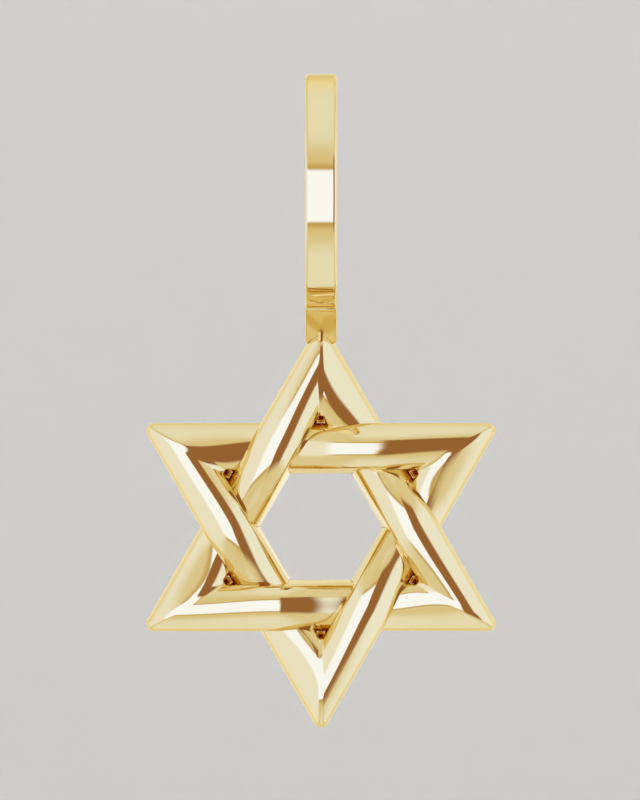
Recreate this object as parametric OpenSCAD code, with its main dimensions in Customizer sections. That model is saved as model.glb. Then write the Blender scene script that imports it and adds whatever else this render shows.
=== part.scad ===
// Six-pointed star pendant of polished gold bar: two interlaced triangles on a round hoop bail.
// Millimetres. +Z is up, and the front faces -Y. The origin is inside the top of the hoop, where it hangs.

/* [Star] */
// Width of the star across its rounded side tips
star_w = 12; // [9:0.5:20]
// Rounding radius of the six tips, seen from the front
tip_r = 0.265; // [0.2:0.005:0.3]
// Width of the bars
bar_w = 1.76; // [1.4:0.02:1.9]
// Height of the bars' straight sides at their mean level, below the half-round top
side_h = 0.85; // [0.65:0.05:1.1]
// How far a bar rises above its mean level where it passes over
over_rise = 0.31; // [0.24:0.01:0.36]
// How far a bar sinks below its mean level where it passes under
under_sink = 0.42; // [0.36:0.01:0.48]
// Draft angle of the bars' inner side walls
draft = 6.6; // [5:0.2:8]

/* [Hoop] */
// Outer diameter of the hoop
hoop_od = 8.34; // [7:0.02:12]
// Wall thickness of the hoop
hoop_wall = 0.92; // [0.7:0.02:1.2]
// Width of the hoop's band
band_w = 1.1; // [1:0.02:1.3]
// Rounding radius of the band's edges
band_edge_r = 0.12; // [0.06:0.01:0.2]

/* [Foot] */
// Angle below the horizontal at which each lip of the foot ends on the hoop
lip_angle = 66; // [60:1:70]
// Thickness of the lips
lip_t = 0.12; // [0.1:0.01:0.16]
// How far the foot reaches below the hoop
foot_drop = 0.9; // [0.8:0.02:1]
// Depth of the foot's lower end, front to back
foot_end_t = 0.24; // [0.2:0.02:0.5]
// How far the star's top tip sits up inside the foot
tip_depth = 0.56; // [0.4:0.02:0.6]
// Rounding radius of the foot's side edges
foot_edge_r = 0.07; // [0.04:0.01:0.1]

/* [Fit] */
// Gap between neighbouring pieces
gap = 0.02; // [0.015:0.005:0.025]

/* [Hidden] */
gold = "#e3c878";

// Star outline: each triangle's sharp tips lie at twice its outline's distance from the centre
tip_reach = (star_w / 2 - tip_r) / cos(30) + 2 * tip_r;
outline = tip_reach / 2;
centre_line = outline - bar_w / 2;
crossing = centre_line * tan(30);
ridge_r = 0.015;
star_t = side_h + over_rise + bar_w / 2;
back_y = star_t / 2;

// Mean swing of the weave, its slope at the middle of a bar, and what is left of the rise at the tips
swing = (over_rise + under_sink) / 2;
mid_slope = 1.5;
tip_rise = 0.15 * over_rise;

// Heights
hoop_r = hoop_od / 2;
bore_r = hoop_r - hoop_wall;
hoop_z = -bore_r;
foot_z = hoop_z - hoop_r - foot_drop;
star_z = foot_z + tip_depth - (tip_reach - tip_r);

// Directions in which the three bars of the upright triangle face outward, and the turn to the inverted one
upright_bars = [-90, 30, 150];
inverted_turn = 60;
// Half the turn around a tip
corner_turn = 60;
// Share of the half width at which the half-round top gives way to the drafted inner wall
inner_share = 0.8;

// Steps along a bar, over its top and around a rounded corner, and degrees a step around a tip
bar_steps = 30;
dome_steps = 14;
arc_steps = 6;
corner_step = 20;
// How far cuts run out behind the back and past the middle of a bar or a tip; where the tip's pocket starts
cut_through = 0.2;
lap = 0.01;
pocket_from = 0.6;
// How far the foot's wedge runs out past its slanted faces before they trim it
past_slant = 0.3;

// A place on a triangle is [direction of its bar, -1 to 1 along the straight stretch, degrees around the
// tip], and "out" is the distance outward from the bar's centre line.
function corner_r(out) = max(tip_r - bar_w / 2 + out, ridge_r);
function straight_half(out) = (centre_line + out - corner_r(out)) / tan(30);
function path_half(out) = straight_half(out) + corner_r(out) * corner_turn * PI / 180;
function path(out, place) = place[1] * straight_half(out) + corner_r(out) * place[2] * PI / 180;

// Smooth curve from one level and slope to another as x goes from 0 to 1
function glide(x, level, slope, end_level, end_slope) =
    level * (2 * pow(x, 3) - 3 * pow(x, 2) + 1) + slope * (pow(x, 3) - 2 * pow(x, 2) + x)
    + end_level * (3 * pow(x, 2) - 2 * pow(x, 3)) + end_slope * (pow(x, 3) - pow(x, 2));

// Rise of the bar above its mean level: up at one crossing, down at the next, nearly level at the tips
function rise(out, place) =
    let (
        s = path(out, place),
        from_middle = abs(s) / crossing,
        from_crossing = (abs(s) - crossing) / (path_half(out) - crossing),
        side = s < 0 ? 1 : -1,
        crest = s < 0 ? over_rise : -under_sink
    )
    from_middle < 1 ? glide(from_middle, 0, side * mid_slope * swing, crest, 0)
                    : glide(from_crossing, crest, 0, tip_rise, -side * swing);

// Point in space at a height above the star's flat back
function surface_point(out, height, place) =
    let (
        r = corner_r(out),
        away = centre_line + out - r + r * cos(place[2]),
        along = place[1] * straight_half(out) + r * sin(place[2])
    )
    [
        away * cos(place[0]) - along * sin(place[0]),
        back_y - height,
        star_z + away * sin(place[0]) + along * cos(place[0])
    ];

// Angle over the half-round top at which the drafted inner wall cuts it off
function dome_end(half_w, height) =
    180 - draft - acos(cos(draft) - sin(draft) * height / half_w);

// Cross-section of a bar at a place, as points from the outer side over the top to the inner side,
// grown on all sides and drawn down below the star's back
function section(place, grow, below) =
    let (
        half_w = bar_w / 2 + grow,
        end = dome_end(half_w, side_h + rise(-inner_share * half_w, place))
    )
    concat(
        [surface_point(half_w, -below, place)],
        [for (j = [0:dome_steps])
            let (a = end * j / dome_steps, out = half_w * cos(a))
            surface_point(out, side_h + rise(out, place) + half_w * sin(a), place)],
        [surface_point(-half_w - below * tan(draft), -below, place)]
    );

// Places along one bar, from one fraction of its straight stretch to another
function bar_places(facing, from, to, steps) =
    [for (k = [0:steps]) [facing, from + (to - from) * k / steps, 0]];

// Places around the tip between two neighbouring bars
function tip_places(facing, next) = concat(
    [for (turn = [corner_step:corner_step:corner_turn]) [facing, 1, turn]],
    [for (turn = [corner_step - corner_turn:corner_step:-corner_step]) [next, -1, turn]]
);

// Solid swept through the sections at a list of places, as a closed loop or with flat ends
module sweep(places, closed, grow = 0, below = 0) {
    sections = [for (place = places) section(place, grow, below)];
    n = len(sections);
    m = len(sections[0]);
    skin = [for (i = [0:n - (closed ? 1 : 2)], j = [0:m - 1])
        let (here = i * m, ahead = ((i + 1) % n) * m, up = (j + 1) % m)
        each [[here + j, here + up, ahead + up], [here + j, ahead + up, ahead + j]]];
    first_end = [for (j = [1:m - 2]) [0, j + 1, j]];
    last_end = [for (j = [1:m - 2]) [0, j, j + 1] + [1, 1, 1] * (n - 1) * m];
    polyhedron(
        points = [for (s = sections) each s],
        faces = closed ? skin : concat(skin, first_end, last_end)
    );
}

// Whole triangle, turned about the star's centre
module triangle_loop(turn) {
    sweep([for (i = [0:2]) each concat(
        bar_places(upright_bars[i] + turn, -1, 1, bar_steps),
        tip_places(upright_bars[i] + turn, upright_bars[(i + 1) % 3] + turn)
    )], true);
}

// Room for the stretches in which the triangle with this turn passes under the other one, from the middle
// of each bar to just past its next tip
module under_stretches(turn) {
    for (i = [0:2]) {
        facing = upright_bars[i] + turn;
        next = upright_bars[(i + 1) % 3] + turn;
        sweep(concat(
            bar_places(facing, -lap, 1, bar_steps / 2),
            tip_places(facing, next),
            bar_places(next, -1, lap - 1, 1)
        ), false, gap, cut_through);
    }
}

module upright_triangle() {
    color(gold) difference() {
        triangle_loop(0);
        under_stretches(inverted_turn);
    }
}

module inverted_triangle() {
    color(gold) difference() {
        triangle_loop(inverted_turn);
        under_stretches(0);
    }
}

// Corner points of a rectangle with rounded corners, counter-clockwise; a corner with no radius stays sharp
function rounded_rect(x0, x1, y0, y1, low_r, high_r) =
    let (corners = [[x1, y0, low_r, -90], [x1, y1, high_r, 0], [x0, y1, high_r, 90], [x0, y0, low_r, 180]])
    [for (c = corners)
        let (sx = c[0] == x1 ? -1 : 1, sy = c[1] == y0 ? 1 : -1, steps = c[2] > 0 ? arc_steps : 0)
        for (k = [0:steps])
            let (a = c[3] + 90 * k / max(steps, 1))
            [c[0] + c[2] * (sx + cos(a)), c[1] + c[2] * (sy + sin(a))]];

module bail_hoop() {
    color(gold) translate([0, 0, hoop_z]) rotate([0, 90, 0])
        rotate_extrude($fn = 180)
            polygon(rounded_rect(bore_r, hoop_r, -band_w / 2, band_w / 2, band_edge_r, band_edge_r));
}

// Corners of the foot from the side, as [depth, height] from the hoop's centre
function lip_point(height) = (hoop_r + height) * [cos(lip_angle), -sin(lip_angle)];
lip_corner = lip_point(lip_t);
end_corner = [foot_end_t / 2, -hoop_r - foot_drop];
slant = atan2(lip_corner[0] - end_corner[0], lip_corner[1] - end_corner[1]);

// Wedge that gives the lips' ends and the lower end, and runs out past the slanted faces on both sides
module foot_outline() {
    far = lip_point(lip_t + past_slant);
    polygon([
        [0, 0], far, [far[0], end_corner[1]],
        [-far[0], end_corner[1]], [-far[0], far[1]]
    ]);
}

// Block as wide as the band whose outer face is the foot's slanted face, with rounded side edges
module slanted_block() {
    translate([end_corner[0], 0, end_corner[1]]) rotate([0, slant, 0])
        translate([0, 0, -hoop_r]) linear_extrude(3 * hoop_r)
            polygon(rounded_rect(-2 * hoop_r, 0, -band_w / 2, band_w / 2, foot_edge_r, foot_edge_r));
}

module bail_foot() {
    color(gold) difference() {
        translate([0, 0, hoop_z]) rotate([0, 0, 90]) intersection() {
            rotate([90, 0, 0]) linear_extrude(2 * band_w, center = true) foot_outline();
            slanted_block();
            mirror([1, 0, 0]) slanted_block();
        }
        translate([0, 0, hoop_z]) rotate([0, 90, 0])
            cylinder(r = hoop_r + gap, h = 2 * band_w, center = true, $fn = 180);
        sweep(concat(
            bar_places(upright_bars[1], pocket_from, 1, 3),
            tip_places(upright_bars[1], upright_bars[2]),
            bar_places(upright_bars[2], -1, -pocket_from, 3)
        ), false, gap, cut_through);
    }
}

upright_triangle();
inverted_triangle();
bail_hoop();
bail_foot();
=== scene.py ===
"""Six-pointed star pendant of polished gold bar on a round hoop bail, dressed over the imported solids."""

import math

import bmesh
import bpy
from mathutils import Matrix, Vector


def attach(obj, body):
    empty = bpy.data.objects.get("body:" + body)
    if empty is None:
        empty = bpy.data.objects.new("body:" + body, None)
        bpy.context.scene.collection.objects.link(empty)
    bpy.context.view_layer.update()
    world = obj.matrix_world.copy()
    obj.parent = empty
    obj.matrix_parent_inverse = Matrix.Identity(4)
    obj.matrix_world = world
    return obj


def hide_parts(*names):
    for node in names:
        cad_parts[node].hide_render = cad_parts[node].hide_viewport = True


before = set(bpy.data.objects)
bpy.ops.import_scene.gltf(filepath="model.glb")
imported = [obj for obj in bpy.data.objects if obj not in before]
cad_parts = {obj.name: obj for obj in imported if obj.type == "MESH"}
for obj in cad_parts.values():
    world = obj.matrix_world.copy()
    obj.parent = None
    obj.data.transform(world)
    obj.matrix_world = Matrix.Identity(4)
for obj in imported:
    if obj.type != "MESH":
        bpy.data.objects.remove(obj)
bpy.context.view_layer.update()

MM = 0.001

# Sizes in millimetres, the same as in the part's source
STAR = {
    "Star Width": 12.0,
    "Tip Radius": 0.265,
    "Bar Width": 1.76,
    "Side Height": 0.85,
    "Over Rise": 0.31,
    "Under Sink": 0.42,
    "Draft": math.radians(6.6),
}
# The solder seams show as hairlines, so here they are finer than the gaps between the solids
GAP = 0.006
HOOP_OD = 8.34
HOOP_WALL = 0.92
BAND_W = 1.1
BAND_EDGE_R = 0.12
LIP_ANGLE = math.radians(66)
LIP_T = 0.12
FOOT_DROP = 0.9
FOOT_END_T = 0.24
TIP_DEPTH = 0.56
FOOT_EDGE_R = 0.07

QUARTER_TURN = math.radians(90)
THIRD = 2 * math.pi / 3
# Half the angle of a tip, half the turn around it, and the turn from the upright triangle to the inverted
# one
HALF_TIP = math.radians(30)
CORNER_TURN = math.radians(60)
INVERTED_TURN = math.radians(60)


def sharp_tip_reach(star_width, tip_r):
    """How far from the star's centre its tips would lie if they weren't rounded off."""
    return (star_width * 0.5 - tip_r) / math.cos(HALF_TIP) + 2 * tip_r


TIP_REACH = sharp_tip_reach(STAR["Star Width"], STAR["Tip Radius"])
HOOP_R = HOOP_OD / 2
HOOP_Z = HOOP_WALL - HOOP_R
FOOT_Z = HOOP_Z - HOOP_R - FOOT_DROP
STAR_Z = FOOT_Z + TIP_DEPTH - (TIP_REACH - STAR["Tip Radius"])

# Rows of points along a bar and around half a tip, and columns over a bar's section
STRAIGHT_ROWS = 192
TIP_ROWS = 8
BAR_ROWS = STRAIGHT_ROWS + 2 * TIP_ROWS
FOOT_COLUMNS = 3
DOME_COLUMNS = 52
CREASE_COLUMNS = 4
# Points around the hoop, cuts in each side of its section, and steps over each of its rounded edges
HOOP_POINTS = 360
SECTION_CUTS = 6
HOOP_EDGE_STEPS = 8
# Steps around the rounded side edges of the foot and over its softened corners, and sides of the tube that
# cuts its hollow
EDGE_STEPS = 6
SOFT_STEPS = 5
TUBE_SIDES = 720
# How far the soft curves along the bars' edges reach from their corners
CREASE_REACH = 0.035
# Rounding of the ridge where two bars meet at a tip
RIDGE_R = 0.12
# Share of the half width at which the half-round top gives way to the drafted inner wall
INNER_SHARE = 0.8
# Slope of the weave at the middle of a bar, and the share of the rise that is left at the tips
MID_SLOPE = 1.5
TIP_RISE_SHARE = 0.15
# How far cuts run out behind the star's back
CUT_THROUGH = 0.2
# Share of a bar's straight stretch at which the foot's pocket for the top tip starts
NEAR_TIP = 0.8
# Solder in the pits inside the tips: where it starts and ends above the star's back, and its triangle's
# radius
PIT_FILL_LOW = 0.05
PIT_FILL_H = 0.45
PIT_FILL_R = 0.4
# Faces as near as this to the wedges' top height are solder, and take the pit material with its painted
# shade
FILL_TOP_REACH = 0.001
# Softening of the foot's lips and lower edges, and how far its lips run up into the hoop's room
FOOT_SOFT = 0.025
FOOT_INTO_HOOP = 0.3
# Lean of the lips' ends off the hoop's radius
LIP_LEAN = math.radians(20)
# Points closer than this are one: on a stretch of bar, on the hoop, and on a triangle after its cuts
STRETCH_WELD = 0.00005
HOOP_WELD = 0.0005
CUT_WELD = 0.0006
# Edges sharper than these angles, in degrees, stay crisp
BAR_CRISP = 20
HOOP_CRISP = 30
FOOT_CRISP = 25
# Faces whose direction agrees with a flat's by more than this cosine are shaded flat: on the star's back and
# on the foot
ON_BACK = 0.9999
ON_FOOT_FLAT = 0.99999
# The largest number of corners with which a face stays whole
MOST_CORNERS = 4


class Number:
    """A number inside a node tree. Arithmetic on it adds the maths nodes."""

    def __init__(self, tree, socket):
        self.tree, self.socket = tree, socket

    def maths(self, operation, *values):
        node = self.tree.nodes.new("ShaderNodeMath")
        node.operation = operation
        for slot, value in zip(node.inputs, values):
            if isinstance(value, Number):
                self.tree.links.new(value.socket, slot)
            else:
                slot.default_value = value
        return Number(self.tree, node.outputs[0])

    def __add__(self, other):
        return self.maths("ADD", self, other)

    def __sub__(self, other):
        return self.maths("SUBTRACT", self, other)

    def __rsub__(self, other):
        return self.maths("SUBTRACT", other, self)

    def __mul__(self, other):
        return self.maths("MULTIPLY", self, other)

    def __rmul__(self, other):
        return self.maths("MULTIPLY", other, self)

    def __truediv__(self, other):
        return self.maths("DIVIDE", self, other)

    def __rtruediv__(self, other):
        return self.maths("DIVIDE", other, self)

    def __lt__(self, other):
        return self.maths("LESS_THAN", self, other)

    def __gt__(self, other):
        return self.maths("GREATER_THAN", self, other)

    def sin(self):
        return self.maths("SINE", self)

    def cos(self):
        return self.maths("COSINE", self)

    def tan(self):
        return self.maths("TANGENT", self)

    def acos(self):
        return self.maths("ARCCOSINE", self)

    def floor(self):
        return self.maths("FLOOR", self)

    def size(self):
        return self.maths("ABSOLUTE", self)

    def at_least(self, low):
        return self.maths("MAXIMUM", self, low)

    def within(self, low, high):
        return self.maths("MINIMUM", self.at_least(low), high)


def glide(x, level, slope, end_level, end_slope):
    """Smooth curve from one level and slope to another as x goes from 0 to 1."""
    square = x * x
    cube = square * x
    start = level * (2 * cube - 3 * square + 1) + slope * (cube - 2 * square + x)
    return start + end_level * (3 * square - 2 * cube) + end_slope * (cube - square)


def add(tree, kind, inputs=None, **settings):
    """Adds a node, with its settings, values and links."""
    node = tree.nodes.new(kind)
    for name, value in settings.items():
        setattr(node, name, value)
    for name, value in (inputs or {}).items():
        slot = node.inputs[name]
        if isinstance(value, Number):
            value = value.socket
        if isinstance(value, bpy.types.NodeSocket):
            tree.links.new(value, slot)
        else:
            slot.default_value = value
    return node


def new_tree(name, inputs):
    """Starts a geometry tree with named inputs, and gives the tree and its inputs as numbers."""
    tree = bpy.data.node_groups.new(name, "GeometryNodeTree")
    for label, kind, value in inputs:
        tree.interface.new_socket(name=label, in_out="INPUT", socket_type=kind).default_value = value
    tree.interface.new_socket(name="Geometry", in_out="OUTPUT", socket_type="NodeSocketGeometry")
    sockets = tree.nodes.new("NodeGroupInput").outputs
    return tree, {label: Number(tree, sockets[label]) for label, kind, value in inputs}


def end_tree(tree, geometry):
    output = tree.nodes.new("NodeGroupOutput")
    tree.links.new(geometry, output.inputs["Geometry"])


STAR_INPUTS = [(label, "NodeSocketFloat", value) for label, value in STAR.items()]


def back_place(size):
    """How far the star's flat back lies behind the middle of its thickness."""
    return (size["Side Height"] + size["Over Rise"] + size["Bar Width"] * 0.5) * 0.5


def bar_stretch_tree():
    """Closed skin over a stretch of a triangle's bar, from one row of points to another.

    Row 0 is the middle of a tip, and the rows of the next bar follow on. The star's centre is the origin."""
    tree, size = new_tree("bar stretch", STAR_INPUTS + [
        ("Turn", "NodeSocketFloat", 0.0),
        ("First Row", "NodeSocketInt", 0),
        ("Last Row", "NodeSocketInt", BAR_ROWS),
        ("Grow", "NodeSocketFloat", 0.0),
        ("Below", "NodeSocketFloat", 0.0),
        ("Closed Ends", "NodeSocketInt", 0),
    ])
    half_bar = size["Bar Width"] * 0.5
    tip_r = size["Tip Radius"]
    draft = size["Draft"]
    centre_line = sharp_tip_reach(size["Star Width"], tip_r) * 0.5 - half_bar
    crossing = centre_line * math.tan(HALF_TIP)
    half_w = half_bar + size["Grow"]

    # Columns over a bar's section: the rounded outer edge of the back, the half-round top, the crease, the
    # rounded inner edge of the back, and the start again
    dome_from = FOOT_COLUMNS + 1
    crease_from = dome_from + DOME_COLUMNS
    inner_from = crease_from + CREASE_COLUMNS + 1
    last_column = inner_from + FOOT_COLUMNS + 1
    ends = size["Closed Ends"]
    rows = size["Last Row"] - size["First Row"] + 1 + 2 * ends
    grid = add(tree, "GeometryNodeMeshGrid", {"Vertices X": rows, "Vertices Y": last_column + 1})
    index = Number(tree, tree.nodes.new("GeometryNodeInputIndex").outputs[0])
    grid_row = ((index + 0.5) / (last_column + 1)).floor()
    column = index - grid_row * (last_column + 1)

    # Where a row stands: its bar, how far along the straight stretch, and the turn around a tip
    row = (grid_row - ends).within(0, size["Last Row"] - size["First Row"]) + size["First Row"]
    bar = ((row + 0.5) / BAR_ROWS).floor()
    row = row - bar * BAR_ROWS
    turn_back = ((row - TIP_ROWS) / TIP_ROWS).within(-1, 0)
    turn_on = ((row - TIP_ROWS - STRAIGHT_ROWS) / TIP_ROWS).within(0, 1)
    turn = (turn_back + turn_on) * CORNER_TURN
    along = ((row - TIP_ROWS) / STRAIGHT_ROWS).within(0, 1) * 2 - 1
    facing = bar * THIRD + size["Turn"] - QUARTER_TURN

    def corner_r(out):
        return (tip_r - half_bar + out).at_least(RIDGE_R)

    def straight_half(out):
        return (centre_line + out - corner_r(out)) / math.tan(HALF_TIP)

    swing = (size["Over Rise"] + size["Under Sink"]) * 0.5
    tip_rise = size["Over Rise"] * TIP_RISE_SHARE

    def rise(out):
        """Up where the bar passes over, down where it passes under, nearly level at the tips."""
        path = along * straight_half(out) + corner_r(out) * turn
        path_half = straight_half(out) + corner_r(out) * CORNER_TURN
        over = path < 0
        side = over * 2 - 1
        crest = over * (size["Over Rise"] + size["Under Sink"]) - size["Under Sink"]
        from_middle = (path.size() / crossing).within(0, 1)
        from_crossing = ((path.size() - crossing) / (path_half - crossing)).within(0, 1)
        inner = glide(from_middle, 0, side * swing * MID_SLOPE, crest, 0)
        outer = glide(from_crossing, crest, 0, tip_rise, side * swing * -1)
        return inner + outer - crest

    def dome(angle):
        out = half_w * angle.cos()
        return out, size["Side Height"] + rise(out) + half_w * angle.sin()

    def between(first, second, share):
        return tuple(a + (b - a) * share for a, b in zip(first, second))

    def rounding(first, corner, last, share):
        """Point on the soft curve that takes off a corner."""
        return between(between(first, corner, share), between(corner, last, share), share)

    wall_height = size["Side Height"] + rise(half_w * -INNER_SHARE)
    end = math.pi - draft - (draft.cos() - draft.sin() * wall_height / half_w).acos()
    below = size["Below"] * -1
    lean = draft.tan() * size["Below"]
    outer_foot = (half_w, below)
    inner_foot = (half_w * -1 - lean, below)
    crease = dome(end)
    wall_share = CREASE_REACH / (crease[1] - inner_foot[1])

    def share_from(first, steps):
        return ((column - first) / steps).within(0, 1)

    end_angle = end - CREASE_REACH / half_w
    back_end = (half_w - CREASE_REACH, below)
    out, height = rounding(back_end, outer_foot, (half_w, below + CREASE_REACH), share_from(0, FOOT_COLUMNS))
    next_pieces = [
        (dome_from, dome(end_angle * share_from(dome_from, DOME_COLUMNS))),
        (crease_from + 1, rounding(
            dome(end_angle), crease, between(crease, inner_foot, wall_share),
            share_from(crease_from, CREASE_COLUMNS),
        )),
        (inner_from, rounding(
            between(inner_foot, crease, wall_share), inner_foot, (inner_foot[0] + CREASE_REACH, below),
            share_from(inner_from, FOOT_COLUMNS),
        )),
        (last_column, back_end),
    ]
    for first, (piece_out, piece_height) in next_pieces:
        on = column > first - 0.5
        out = out + (piece_out - out) * on
        height = height + (piece_height - height) * on

    # A closed end gathers its outermost row in the middle of the section
    at_end = (grid_row < ends - 0.5) + (grid_row > rows - 1 - ends + 0.5)
    out = out * (1 - at_end)
    height = height + (size["Side Height"] * 0.5 - height) * at_end

    r = corner_r(out)
    away = centre_line + out - r + r * turn.cos()
    sideways = along * straight_half(out) + r * turn.sin()
    place = add(tree, "ShaderNodeCombineXYZ", {
        "X": away * facing.cos() - sideways * facing.sin(),
        "Y": back_place(size) - height,
        "Z": away * facing.sin() + sideways * facing.cos(),
    })
    skin = add(tree, "GeometryNodeSetPosition", {"Geometry": grid.outputs[0], "Position": place.outputs[0]})
    merged = add(tree, "GeometryNodeMergeByDistance", {
        "Geometry": skin.outputs[0], "Distance": STRETCH_WELD,
    })
    end_tree(tree, merged.outputs[0])
    return tree


def bar_stretch(tree, size, stretch_tree, values):
    """Runs the bar stretch tree inside another tree, with that tree's sizes of the star."""
    sizes = {label: size[label] for label in STAR}
    return add(tree, "GeometryNodeGroup", {**sizes, **values}, node_tree=stretch_tree).outputs[0]


def three_around(tree, geometry, turn):
    """Sets a geometry three times around the star's centre, starting at the given turn."""
    points = add(tree, "GeometryNodeMeshLine", {"Count": 3, "Offset": (0, 0, 0)})
    number = Number(tree, tree.nodes.new("GeometryNodeInputIndex").outputs[0])
    turned = add(tree, "ShaderNodeCombineXYZ", {"Y": number * -THIRD - turn})
    spread = add(tree, "GeometryNodeInstanceOnPoints", {
        "Points": points.outputs[0], "Instance": geometry, "Rotation": turned.outputs[0],
    })
    return add(tree, "GeometryNodeRealizeInstances", {"Geometry": spread.outputs[0]}).outputs[0]


def three_stretches(tree, size, stretch_tree, values):
    """Three stretches set around the star's centre as one mesh."""
    joined = three_around(tree, bar_stretch(tree, size, stretch_tree, values), 0.0)
    return add(tree, "GeometryNodeMergeByDistance", {
        "Geometry": joined, "Distance": STRETCH_WELD,
    }).outputs[0]


def soft_and_crisp(tree, geometry, degrees):
    """Smooth shading that keeps the edges sharper than the given angle."""
    smooth = add(tree, "GeometryNodeSetShadeSmooth", {"Geometry": geometry}, domain="FACE")
    angle = Number(tree, tree.nodes.new("GeometryNodeInputMeshEdgeAngle").outputs["Unsigned Angle"])
    sharp = angle > math.radians(degrees)
    crisp = add(tree, "GeometryNodeSetShadeSmooth", {
        "Geometry": smooth.outputs[0], "Selection": sharp, "Shade Smooth": False,
    }, domain="EDGE")
    return crisp.outputs[0]


def flat_back(tree, geometry):
    """Flat shading on the faces that look straight back."""
    facing = add(tree, "ShaderNodeSeparateXYZ", {
        "Vector": tree.nodes.new("GeometryNodeInputNormal").outputs[0],
    })
    on_back = Number(tree, facing.outputs["Y"]) > ON_BACK
    return add(tree, "GeometryNodeSetShadeSmooth", {
        "Geometry": geometry, "Selection": on_back, "Shade Smooth": False,
    }, domain="FACE").outputs[0]


def placed(tree, geometry, heights):
    """Lifts the millimetre mesh to its height and brings it to metres."""
    lift = add(tree, "ShaderNodeCombineXYZ", {"Z": heights * MM})
    scaled = add(tree, "GeometryNodeTransform", {
        "Geometry": geometry, "Translation": lift.outputs[0], "Scale": (MM, MM, MM),
    })
    return add(tree, "GeometryNodeRealizeInstances", {"Geometry": scaled.outputs[0]}).outputs[0]


def pit_fills(tree, size):
    """Three small wedges of solder in the pits inside a triangle's tips, nearly up to the other's side."""
    reach = sharp_tip_reach(size["Star Width"], size["Tip Radius"])
    wedge = add(tree, "GeometryNodeMeshCylinder", {
        "Vertices": 3, "Radius": PIT_FILL_R, "Depth": PIT_FILL_H - PIT_FILL_LOW,
    })
    place = add(tree, "ShaderNodeCombineXYZ", {
        "Y": back_place(size) - (PIT_FILL_LOW + PIT_FILL_H) / 2,
        "Z": reach * 0.5 + size["Gap"] * 2 + PIT_FILL_R / 2,
    })
    # One edge of the wedge runs two gaps off the other triangle's side, and the corner opposite points to
    # the tip
    upright = add(tree, "GeometryNodeTransform", {
        "Geometry": wedge.outputs[0], "Translation": place.outputs[0],
        "Rotation": (QUARTER_TURN, -QUARTER_TURN, 0),
    })
    return three_around(tree, upright.outputs[0], size["Turn"])


def on_pit_fills(tree, size):
    """Picks the faces on top of the wedges, which lie flat at one height."""
    place = tree.nodes.new("GeometryNodeInputPosition")
    apart = add(tree, "ShaderNodeSeparateXYZ", {"Vector": place.outputs[0]})
    off_top = (Number(tree, apart.outputs["Y"]) - back_place(size) + PIT_FILL_H).size()
    return off_top < FILL_TOP_REACH


def boolean(tree, operation, first, second):
    """Joins two meshes, or takes the second from the first."""
    cut = tree.nodes.new("GeometryNodeMeshBoolean")
    cut.operation = operation
    cut.solver = "MANIFOLD"
    tree.links.new(first, cut.inputs["Mesh 1" if operation == "DIFFERENCE" else "Mesh 2"])
    tree.links.new(second, cut.inputs["Mesh 2"])
    return cut.outputs[0]


def woven_triangle_tree(stretch_tree, material, pit_shade_material):
    """A triangle of bar, cut away under its over-passes where the other triangle runs through."""
    tree, size = new_tree("woven triangle", STAR_INPUTS + [
        ("Turn", "NodeSocketFloat", 0.0),
        ("Other Turn", "NodeSocketFloat", INVERTED_TURN),
        ("Gap", "NodeSocketFloat", GAP),
        ("Height", "NodeSocketFloat", STAR_Z),
    ])
    loop = three_stretches(tree, size, stretch_tree, {
        "Turn": size["Turn"], "First Row": 0, "Last Row": BAR_ROWS,
        "Grow": 0.0, "Below": 0.0, "Closed Ends": 0,
    })
    # The other triangle passes under from the middle of each of its bars to just past the next tip
    middle = TIP_ROWS + STRAIGHT_ROWS // 2
    room = three_stretches(tree, size, stretch_tree, {
        "Turn": size["Other Turn"], "First Row": middle - 1, "Last Row": BAR_ROWS + TIP_ROWS + 2,
        "Grow": size["Gap"], "Below": CUT_THROUGH, "Closed Ends": 1,
    })
    filled = boolean(tree, "UNION", loop, pit_fills(tree, size))
    woven = add(tree, "GeometryNodeMergeByDistance", {
        "Geometry": boolean(tree, "DIFFERENCE", filled, room), "Distance": CUT_WELD,
    })
    # Only faces with more than four corners are split, which leaves the bars' quads as they are
    corners = Number(tree, tree.nodes.new("GeometryNodeInputMeshFaceNeighbors").outputs["Vertex Count"])
    split = add(tree, "GeometryNodeTriangulate", {
        "Mesh": woven.outputs[0], "Selection": corners > MOST_CORNERS + 0.5,
    })
    shaded = flat_back(tree, soft_and_crisp(tree, split.outputs[0], BAR_CRISP))
    polished = add(tree, "GeometryNodeSetMaterial", {"Geometry": shaded, "Material": material})
    # The wedges' tops take the pit material, whose dark brown is painted shade
    with_pit_shade = add(tree, "GeometryNodeSetMaterial", {
        "Geometry": polished.outputs[0], "Selection": on_pit_fills(tree, size), "Material": pit_shade_material,
    })
    end_tree(tree, placed(tree, with_pit_shade.outputs[0], size["Height"]))
    return tree


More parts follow.
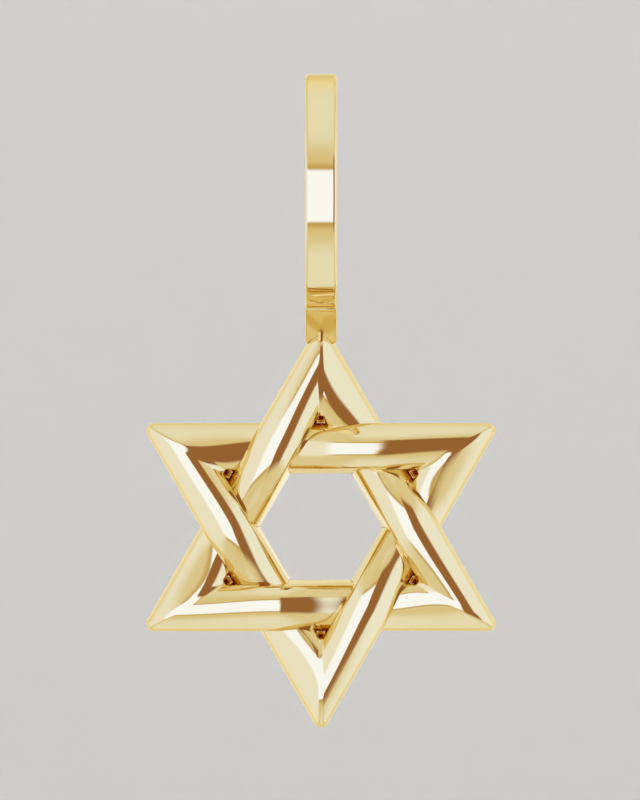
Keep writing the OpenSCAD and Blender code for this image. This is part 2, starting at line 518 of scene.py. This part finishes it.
def hoop_tree(material):
    """A round band with a rounded rectangle for its section."""
    tree, size = new_tree("hoop band", [
        ("Outer Diameter", "NodeSocketFloat", HOOP_OD),
        ("Wall", "NodeSocketFloat", HOOP_WALL),
        ("Band Width", "NodeSocketFloat", BAND_W),
        ("Edge Radius", "NodeSocketFloat", BAND_EDGE_R),
        ("Height", "NodeSocketFloat", HOOP_Z),
    ])
    ring = add(tree, "GeometryNodeCurvePrimitiveCircle", {
        "Resolution": HOOP_POINTS, "Radius": (size["Outer Diameter"] - size["Wall"]) * 0.5,
    })
    profile = add(tree, "GeometryNodeCurvePrimitiveQuadrilateral", {
        "Width": size["Wall"], "Height": size["Band Width"],
    })
    # Points along the sides keep the flats flat right up to the rounded edges
    divided = add(tree, "GeometryNodeSubdivideCurve", {"Curve": profile.outputs[0], "Cuts": SECTION_CUTS})
    rounded = add(tree, "GeometryNodeFilletCurve", {
        "Curve": divided.outputs[0], "Radius": size["Edge Radius"], "Count": HOOP_EDGE_STEPS,
    }, mode="POLY")
    band = add(tree, "GeometryNodeCurveToMesh", {
        "Curve": ring.outputs[0], "Profile Curve": rounded.outputs[0],
    })
    merged = add(tree, "GeometryNodeMergeByDistance", {"Geometry": band.outputs[0], "Distance": HOOP_WELD})
    upright = add(tree, "GeometryNodeTransform", {
        "Geometry": merged.outputs[0], "Rotation": (0, QUARTER_TURN, 0),
    })
    shaded = soft_and_crisp(tree, upright.outputs[0], HOOP_CRISP)
    gold_band = add(tree, "GeometryNodeSetMaterial", {
        "Geometry": placed(tree, shaded, size["Height"]), "Material": material,
    })
    end_tree(tree, gold_band.outputs[0])
    return tree


def drawn_in(outline, distance):
    """Convex outline with every side moved inwards."""
    lines = []
    for first, second in zip(outline, outline[1:] + outline[:1]):
        along = (Vector(second) - Vector(first)).normalized()
        lines.append((Vector(first) + Vector((along.y, -along.x)) * distance, along))
    corners = []
    for (start, along), (next_start, next_along) in zip(lines[-1:] + lines[:-1], lines):
        across = along.x * next_along.y - along.y * next_along.x
        step = next_start - start
        share = (step.x * next_along.y - step.y * next_along.x) / across
        corners.append(start + along * share)
    return corners


def softened(corners, reach):
    """Outline with its corners taken off by soft curves."""
    points = []
    for before, corner, after in zip(corners[-1:] + corners[:-1], corners, corners[1:] + corners[:1]):
        first = corner + (before - corner).normalized() * reach
        last = corner + (after - corner).normalized() * reach
        for k in range(SOFT_STEPS + 1):
            share = k / SOFT_STEPS
            points.append(first.lerp(corner, share).lerp(corner.lerp(last, share), share))
    return points


def foot_piece(tip_tool, material):
    """Wedge with slanted polished faces under the hoop, cut to the hoop and to the star's tip."""
    def lip_point(height):
        return (HOOP_R + height) * math.cos(LIP_ANGLE), -(HOOP_R + height) * math.sin(LIP_ANGLE)

    end = (FOOT_END_T / 2, -HOOP_R - FOOT_DROP)
    lip = Vector(lip_point(LIP_T))
    inner = lip - Vector((math.cos(LIP_ANGLE - LIP_LEAN), -math.sin(LIP_ANGLE - LIP_LEAN))) * FOOT_INTO_HOOP
    front = [inner, lip, end]
    outline = front + [(-depth, height) for depth, height in reversed(front)]
    bends = [math.radians(90 * k / EDGE_STEPS) for k in range(EDGE_STEPS + 1)]
    right = [(BAND_W / 2 - FOOT_EDGE_R * (1 - math.sin(a)), FOOT_EDGE_R * (1 - math.cos(a))) for a in bends]
    slices = [(-x, inset) for x, inset in reversed(right)] + right

    shape = bmesh.new()
    rings = []
    for x, inset in slices:
        points = softened(drawn_in(outline, inset), FOOT_SOFT)
        rings.append([shape.verts.new((x, -p.x, p.y)) for p in points])
    for first, second in zip(rings, rings[1:]):
        for k in range(len(first)):
            n = (k + 1) % len(first)
            shape.faces.new((first[k], first[n], second[n], second[k]))
    shape.faces.new(rings[0])
    shape.faces.new(rings[-1])
    bmesh.ops.recalc_face_normals(shape, faces=shape.faces)
    foot = piece_from(shape, "bail_foot_polished")
    foot.data.materials.append(material)

    tube = bmesh.new()
    bmesh.ops.create_cone(tube, cap_ends=True, segments=TUBE_SIDES, depth=3 * BAND_W,
                          radius1=HOOP_R + GAP, radius2=HOOP_R + GAP,
                          matrix=Matrix.Rotation(QUARTER_TURN, 4, "Y"))
    tools = (piece_from(tube, "hoop_room"), tip_tool)
    for tool in tools:
        cut = foot.modifiers.new(tool.name, "BOOLEAN")
        cut.operation = "DIFFERENCE"
        cut.solver = "MANIFOLD"
        cut.object = tool
    keep_modifiers(foot)
    for tool in tools:
        bpy.data.objects.remove(tool)
    foot.data.transform(Matrix.Translation((0, 0, HOOP_Z * MM)) @ Matrix.Scale(MM, 4))
    foot.data.shade_smooth()
    foot.data.set_sharp_from_angle(angle=math.radians(FOOT_CRISP))
    # The flats stay flat up to their soft edges
    flats = [Vector((1, 0, 0)), Vector((0, 0, -1))]
    for start, stop in ((inner, lip), (lip, Vector(end))):
        along = (stop - start).normalized()
        flats += [Vector((0, along.y, along.x)), Vector((0, -along.y, along.x))]
    for face in foot.data.polygons:
        face.use_smooth = max(abs(face.normal.dot(flat)) for flat in flats) < ON_FOOT_FLAT
    return foot


def keep_modifiers(piece):
    """Turns what the modifiers give into the piece's own plain mesh."""
    bpy.context.view_layer.update()
    depsgraph = bpy.context.evaluated_depsgraph_get()
    mesh = bpy.data.meshes.new_from_object(piece.evaluated_get(depsgraph), depsgraph=depsgraph)
    if not mesh.polygons:
        raise RuntimeError(piece.name + " came out empty")
    for slot in reversed(range(len(mesh.materials))):
        if mesh.materials[slot] is None:
            mesh.materials.pop(index=slot)
    piece.modifiers.clear()
    piece.data = mesh


def piece_from(shape, name):
    mesh = bpy.data.meshes.new(name)
    shape.to_mesh(mesh)
    shape.free()
    piece = bpy.data.objects.new(name, mesh)
    bpy.context.scene.collection.objects.link(piece)
    return piece


def tip_room_tree(stretch_tree):
    """The star's top tip, grown by the gap, set as it stands below the hoop's centre, in millimetres."""
    tree, size = new_tree("tip room", STAR_INPUTS + [
        ("Gap", "NodeSocketFloat", GAP), ("Height", "NodeSocketFloat", STAR_Z - HOOP_Z),
    ])
    near_tip = TIP_ROWS + int(STRAIGHT_ROWS * NEAR_TIP)
    tip = bar_stretch(tree, size, stretch_tree, {
        "Turn": THIRD, "First Row": near_tip, "Last Row": 2 * BAR_ROWS - near_tip,
        "Grow": size["Gap"], "Below": CUT_THROUGH, "Closed Ends": 1,
    })
    lift = add(tree, "ShaderNodeCombineXYZ", {"Z": size["Height"]})
    raised = add(tree, "GeometryNodeTransform", {"Geometry": tip, "Translation": lift.outputs[0]})
    real = add(tree, "GeometryNodeRealizeInstances", {"Geometry": raised.outputs[0]})
    end_tree(tree, real.outputs[0])
    return tree


def grown(tree, name, values):
    """Runs a tree with the given values and keeps the result as a plain mesh."""
    piece = bpy.data.objects.new(name, bpy.data.meshes.new(name))
    bpy.context.scene.collection.objects.link(piece)
    modifier = piece.modifiers.new("tree", "NODES")
    modifier.node_group = tree
    for item in tree.interface.items_tree:
        if item.in_out == "INPUT" and item.name in values:
            modifier[item.identifier] = values[item.name]
    keep_modifiers(piece)
    piece.data.name = name
    return piece


GOLD_DARK = (0.86, 0.69, 0.325, 1)
GOLD_LIGHT = (0.875, 0.71, 0.345, 1)
GOLD_GLANCE = (1.0, 0.93, 0.74, 1)
# Pit colours: dark brown painted shade for the deep pits, on the wedges' tops
PIT_SHADE_DARK = (0.46, 0.19, 0.05, 1)
PIT_SHADE_LIGHT = (0.62, 0.29, 0.09, 1)
PAPER = (0.70, 0.695, 0.685, 1)


def new_material(name):
    material = bpy.data.materials.new(name)
    material.use_nodes = True
    return material, material.node_tree


def noise(tree, place, scale, detail, roughness):
    return add(tree, "ShaderNodeTexNoise", {
        "Vector": place, "Scale": scale, "Detail": detail, "Roughness": roughness,
    }).outputs["Fac"]


def two_tones(tree, value, low, high, dark, light):
    """Colour that goes from dark to light as the value goes from low to high."""
    ramp = add(tree, "ShaderNodeValToRGB", {"Fac": value})
    first, last = ramp.color_ramp.elements
    first.position, first.color = low, dark
    last.position, last.color = high, light
    return ramp.outputs[0]


def bright_gold():
    """Mirror-polished yellow gold, with the faint haze and hairlines that a buffing wheel leaves."""
    material, tree = new_material("polished yellow gold")
    shader = tree.nodes["Principled BSDF"]
    shader.inputs["Metallic"].default_value = 1.0
    shader.inputs["Specular Tint"].default_value = GOLD_GLANCE
    place = tree.nodes.new("ShaderNodeTexCoord").outputs["Object"]
    shine = add(tree, "ShaderNodeMapRange", {
        "Value": noise(tree, place, 900.0, 3.0, 0.55),
        "From Min": 0.3, "From Max": 0.7, "To Min": 0.03, "To Max": 0.07,
    })
    tree.links.new(shine.outputs[0], shader.inputs["Roughness"])
    colour = two_tones(tree, noise(tree, place, 260.0, 2.0, 0.5), 0.3, 0.7, GOLD_DARK, GOLD_LIGHT)
    tree.links.new(colour, shader.inputs["Base Color"])

    # Hairlines from wear lie mostly along the pendant, and are too fine to break up a reflection
    drawn_out = add(tree, "ShaderNodeMapping", {
        "Vector": place, "Scale": (1.0, 1.0, 0.06), "Rotation": (0.0, math.radians(24), 0.0),
    })
    relief = add(tree, "ShaderNodeBump", {
        "Height": noise(tree, drawn_out.outputs[0], 24000.0, 2.0, 0.5),
        "Strength": 0.10, "Distance": 0.0000006,
    })
    tree.links.new(relief.outputs[0], shader.inputs["Normal"])
    return material


def pit_solder_shade():
    """Darker, duller gold at the bottom of the pits: duller where no buffing wheel reaches, and darker as
    painted shade for the deep pits.
    """
    material, tree = new_material("unpolished pit solder with painted shade")
    shader = tree.nodes["Principled BSDF"]
    shader.inputs["Metallic"].default_value = 1.0
    shader.inputs["Roughness"].default_value = 0.38
    place = tree.nodes.new("ShaderNodeTexCoord").outputs["Object"]
    colour = two_tones(tree, noise(tree, place, 6000.0, 3.0, 0.6), 0.35, 0.65, PIT_SHADE_DARK, PIT_SHADE_LIGHT)
    tree.links.new(colour, shader.inputs["Base Color"])
    return material


gold = bright_gold()
stretch_tree = bar_stretch_tree()
triangle_tree = woven_triangle_tree(stretch_tree, gold, pit_solder_shade())

upright = grown(triangle_tree, "upright_triangle_polished", {
    "Turn": 0.0, "Other Turn": INVERTED_TURN, **STAR,
})
inverted = grown(triangle_tree, "inverted_triangle_polished", {
    "Turn": INVERTED_TURN, "Other Turn": 0.0, **STAR,
})
hoop = grown(hoop_tree(gold), "bail_hoop_polished", {})
foot = foot_piece(grown(tip_room_tree(stretch_tree), "tip_room", {}), gold)

for piece, node in ((upright, "upright_triangle"), (inverted, "inverted_triangle"), (hoop, "bail_hoop"),
                    (foot, "bail_foot")):
    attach(piece, "root")
    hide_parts(node)


# The stage, in metres: the floor's height, the radius of its flat middle and of the curve up to the wall,
# the wall's top, and the steps around the floor and up the curve
FLOOR_Z = -0.62
FLOOR_R = 0.45
CURVE_R = 0.3
WALL_TOP = 0.75
FLOOR_SIDES = 96
CURVE_STEPS = 16


def stage_floor():
    """Round pale floor that curves up into a plain wall on all sides."""
    outline = [(FLOOR_R, FLOOR_Z)]
    for k in range(1, CURVE_STEPS + 1):
        a = math.radians(90 * k / CURVE_STEPS)
        outline.append((FLOOR_R + CURVE_R * math.sin(a), FLOOR_Z + CURVE_R - CURVE_R * math.cos(a)))
    outline.append((FLOOR_R + CURVE_R, WALL_TOP))
    bearings = [2 * math.pi * k / FLOOR_SIDES for k in range(FLOOR_SIDES)]
    shape = bmesh.new()
    rings = []
    for radius, height in outline:
        rings.append([shape.verts.new((radius * math.cos(a), radius * math.sin(a), height))
                      for a in bearings])
    shape.faces.new(rings[0])
    for low, high in zip(rings, rings[1:]):
        for k in range(FLOOR_SIDES):
            n = (k + 1) % FLOOR_SIDES
            shape.faces.new((low[k], low[n], high[n], high[k]))
    bmesh.ops.recalc_face_normals(shape, faces=shape.faces)
    bmesh.ops.reverse_faces(shape, faces=shape.faces)
    for face in shape.faces:
        face.smooth = True
    floor = piece_from(shape, "pale_floor")
    material, tree = new_material("pale paper")
    shader = tree.nodes["Principled BSDF"]
    shader.inputs["Base Color"].default_value = PAPER
    shader.inputs["Roughness"].default_value = 0.9
    floor.data.materials.append(material)


# The tent around the pendant, in metres, and the light that its parts give off
TENT_R = 0.3
TENT_Z = -0.0115
CREAM_LEFT = (0.942, 1.054, 1.50, 1)
CREAM_RIGHT = (0.96, 1.11, 1.64, 1)
CLOTH_STEEP = (0.90, 0.985, 1.25, 1)
TAN_FOLD = (0.82, 0.815, 0.775, 1)
SHADED_CLOTH = (0.785, 0.73, 0.575, 1)
BACK_DARK = (0.80, 0.73, 0.45, 1)
BACK_LIGHT = (1.08, 1.03, 0.76, 1)
HEM = (0.62, 0.474, 0.233, 1)
BROWN_CARD = (0.345, 0.172, 0.085, 1)
WINDOW = (1.10, 1.33, 2.5, 1)
DEGREES = 180 / math.pi
# Keeps the places straight in front and behind from a division by zero
NEVER_ZERO = 0.001


def light_tent():
    """Soft white tent around the pendant, with a bright window in front and a brown card beside it."""
    bpy.ops.mesh.primitive_uv_sphere_add(segments=64, ring_count=32, radius=TENT_R, location=(0, 0, TENT_Z))
    tent = bpy.context.object
    tent.name = "light_tent"
    material, tree = new_material("tent cloth")
    tree.nodes.clear()
    where = tree.nodes.new("ShaderNodeTexCoord")
    apart = add(tree, "ShaderNodeSeparateXYZ", {"Vector": where.outputs["Object"]})
    x = Number(tree, apart.outputs["X"]) / TENT_R
    y = Number(tree, apart.outputs["Y"]) / TENT_R
    z = Number(tree, apart.outputs["Z"]) / TENT_R
    level = x.maths("SQRT", x * x + z * z).at_least(NEVER_ZERO)

    # Directions from the pendant, in degrees: around to the right, up, away from the camera's side, and how
    # steeply a place lies above or below the level line as the camera sees it
    around = x.maths("ARCTAN2", x, y * -1) * DEGREES
    up = x.maths("ARCSINE", z) * DEGREES
    off_front = (y * -1).acos() * DEGREES
    steepness = x.maths("ARCTAN2", z.size(), x.size()) * DEGREES

    def rising(value, low, high):
        """0 below low and 1 above high, with a soft edge between."""
        share = ((value - low) / (high - low)).within(0, 1)
        return share * share * (3 - 2 * share)

    def falling(value, low, high):
        """1 below low and 0 above high, with a soft edge between."""
        return rising(value * -1, -high, -low)

    def mixed(first, second, share):
        node = tree.nodes.new("ShaderNodeMix")
        node.data_type = "RGBA"
        # For colours the node takes its inputs 6 and 7 and gives its output 2
        tree.links.new(share.socket, node.inputs["Factor"])
        for slot, value in ((node.inputs[6], first), (node.inputs[7], second)):
            if isinstance(value, tuple):
                slot.default_value = value
            else:
                tree.links.new(value, slot)
        return node.outputs[2]

    # Cream cloth at the sides and less so above and below, with tan folds between them
    sides = mixed(CREAM_LEFT, CREAM_RIGHT, rising(x / level, -0.4, 0.4))
    cloth = mixed(sides, CLOTH_STEEP, rising(steepness, 45, 78))
    folds = rising(steepness, 33, 46) * falling(steepness, 70, 84) * rising(off_front, 30, 44)
    colour = mixed(cloth, TAN_FOLD, folds)
    near_window = rising(steepness, 46, 72) * falling(up.size(), 32, 62)
    colour = mixed(colour, SHADED_CLOTH, near_window)
    behind = rising(off_front, 98, 138) * (1 - 0.6 * (z.size() / level))
    back_folds = ((x * 17 + z * 11).sin() + 1) * 0.5
    colour = mixed(colour, mixed(BACK_DARK, BACK_LIGHT, back_folds), behind)
    hem = rising(up.size(), 23, 24) * falling(up.size(), 26, 33) * rising(around, -38, -30)
    colour = mixed(colour, HEM, hem * falling(around, 2, 20))
    card = rising(around, 4, 7) * falling(around, 34, 44) * falling(up, 33, 40) * rising(up, -40, -24)
    colour = mixed(colour, BROWN_CARD, card)
    window = rising(around, -40, -30) * falling(around, 3, 6) * falling(up.size(), 22.8, 26.2)
    colour = mixed(colour, WINDOW, window)
    glow = add(tree, "ShaderNodeEmission", {"Color": colour, "Strength": 1.0})
    output = tree.nodes.new("ShaderNodeOutputMaterial")
    tree.links.new(glow.outputs[0], output.inputs["Surface"])
    tent.data.materials.append(material)
    tent.visible_camera = False
    tent.visible_diffuse = False
    tent.visible_shadow = False


SKY_STRENGTH = 2.0
CAMERA_LENS = 550
CAMERA_SENSOR = 36
CAMERA_PLACE = (-0.00003, -0.42, -0.01028)
LIGHT_BOUNCES = 16
MIRROR_BOUNCES = 12


def sky():
    """Even white light for the floor."""
    world = bpy.data.worlds.new("soft white")
    bpy.context.scene.world = world
    world.use_nodes = True
    light = world.node_tree.nodes["Background"]
    light.inputs["Color"].default_value = (1, 1, 1, 1)
    light.inputs["Strength"].default_value = SKY_STRENGTH


def front_camera():
    """Long lens square on to the front, framed as the photograph is."""
    data = bpy.data.cameras.new("camera")
    data.lens = CAMERA_LENS
    data.sensor_width = CAMERA_SENSOR
    camera = bpy.data.objects.new("camera", data)
    bpy.context.scene.collection.objects.link(camera)
    camera.location = CAMERA_PLACE
    camera.rotation_euler = (QUARTER_TURN, 0, 0)
    data.clip_start, data.clip_end = 0.01, 5
    bpy.context.scene.camera = camera


stage_floor()
light_tent()
sky()
front_camera()
bpy.context.scene.view_settings.view_transform = "Standard"
bpy.context.scene.cycles.max_bounces = LIGHT_BOUNCES
bpy.context.scene.cycles.glossy_bounces = MIRROR_BOUNCES
